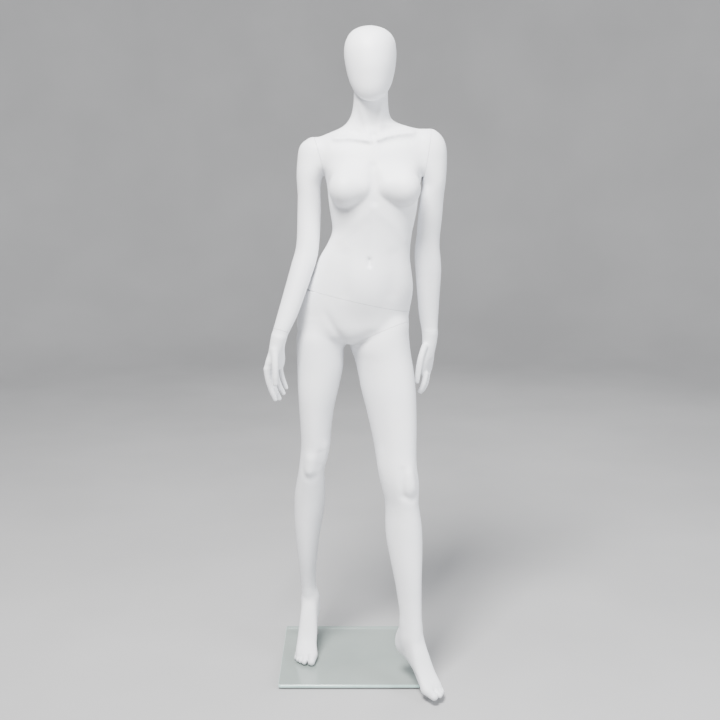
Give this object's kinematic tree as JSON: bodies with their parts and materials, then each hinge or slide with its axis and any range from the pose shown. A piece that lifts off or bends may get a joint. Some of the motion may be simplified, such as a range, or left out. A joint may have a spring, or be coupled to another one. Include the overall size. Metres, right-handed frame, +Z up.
{
  "type": "full body mannequin",
  "caption": "White egg-head female display mannequin in a striding pose, with take-apart torso, arms, hands and leg, held by a calf rod on a square glass base.",
  "frame": {"origin": "centre of the bottom of the overall bounding box, on the floor plane under the pads", "axes": "+Z up, the figure faces -Y, and its own left is +X"},
  "size_m": [0.4943, 0.504, 1.793],
  "materials": {
    "white_shell": "smooth matte white lacquer on fibreglass",
    "base_glass": "clear tempered glass, polished edges",
    "grey_rubber": "translucent grey rubber, matte",
    "polished_steel": "polished chrome plate",
    "plain_steel": "zinc plated, plain"
  },
  "bodies": {
    "base": {"glass_plate": "base_glass", "plate_pad_1": "grey_rubber", "plate_pad_2": "grey_rubber", "plate_pad_3": "grey_rubber", "plate_pad_4": "grey_rubber", "gasket_top": "grey_rubber", "gasket_bottom": "grey_rubber", "clamp_washer": "plain_steel", "clamp_bolt": "plain_steel", "base_flange": "polished_steel", "support_rod": "polished_steel", "rod_set_screw": "plain_steel"},
    "lower_body": {"lower_body_shell": "white_shell", "calf_socket_tube": "plain_steel", "calf_set_screw": "plain_steel", "waist_socket_plate": "plain_steel", "left_thigh_socket_plate": "plain_steel"},
    "left_leg": {"left_leg_shell": "white_shell", "left_thigh_stud_plate": "plain_steel"},
    "torso": {"torso_shell": "white_shell", "head_shell": "white_shell", "waist_stud_plate": "plain_steel", "right_shoulder_socket_plate": "plain_steel", "left_shoulder_socket_plate": "plain_steel"},
    "right_arm": {"right_arm_shell": "white_shell", "right_shoulder_stud_plate": "plain_steel", "right_wrist_socket_plate": "plain_steel"},
    "left_arm": {"left_arm_shell": "white_shell", "left_shoulder_stud_plate": "plain_steel", "left_wrist_socket_plate": "plain_steel"},
    "right_hand": {"right_hand_shell": "white_shell", "right_wrist_stud_plate": "plain_steel"},
    "left_hand": {"left_hand_shell": "white_shell", "left_wrist_stud_plate": "plain_steel"}
  },
  "joints": [
    {"name": "body_lift", "type": "slide", "parent": "base", "child": "lower_body", "axis": [0, -0.1822, 0.9833], "range_m": [0, 0.12]},
    {"name": "waist_twist", "type": "hinge", "parent": "lower_body", "child": "torso", "pos_m": [0.011, 0.064, 1.059], "axis": [0.2239, 0.0448, 0.9736], "range_deg": [0, 30]},
    {"name": "left_thigh_twist", "type": "hinge", "parent": "lower_body", "child": "left_leg", "pos_m": [0.073, 0.066, 0.962], "axis": [-0.3877, 0.2349, 0.8913], "range_deg": [0, 15]},
    {"name": "right_arm_swing", "type": "hinge", "parent": "torso", "child": "right_arm", "pos_m": [-0.101, 0.07, 1.45], "axis": [-0.9619, -0.0962, -0.2559], "range_deg": [0, 90]},
    {"name": "left_arm_swing", "type": "hinge", "parent": "torso", "child": "left_arm", "pos_m": [0.1904, 0.07, 1.45], "axis": [-0.9858, -0.0493, 0.1607], "range_deg": [0, 90]},
    {"name": "right_hand_twist", "type": "hinge", "parent": "right_arm", "child": "right_hand", "pos_m": [-0.201, -0.041, 0.988], "axis": [-0.2994, -0.2795, -0.9123], "range_deg": [0, 60]},
    {"name": "left_hand_twist", "type": "hinge", "parent": "left_arm", "child": "left_hand", "pos_m": [0.2065, 0.111, 0.964], "axis": [-0.0299, -0.0599, 0.9978], "range_deg": [0, 60]}
  ]
}
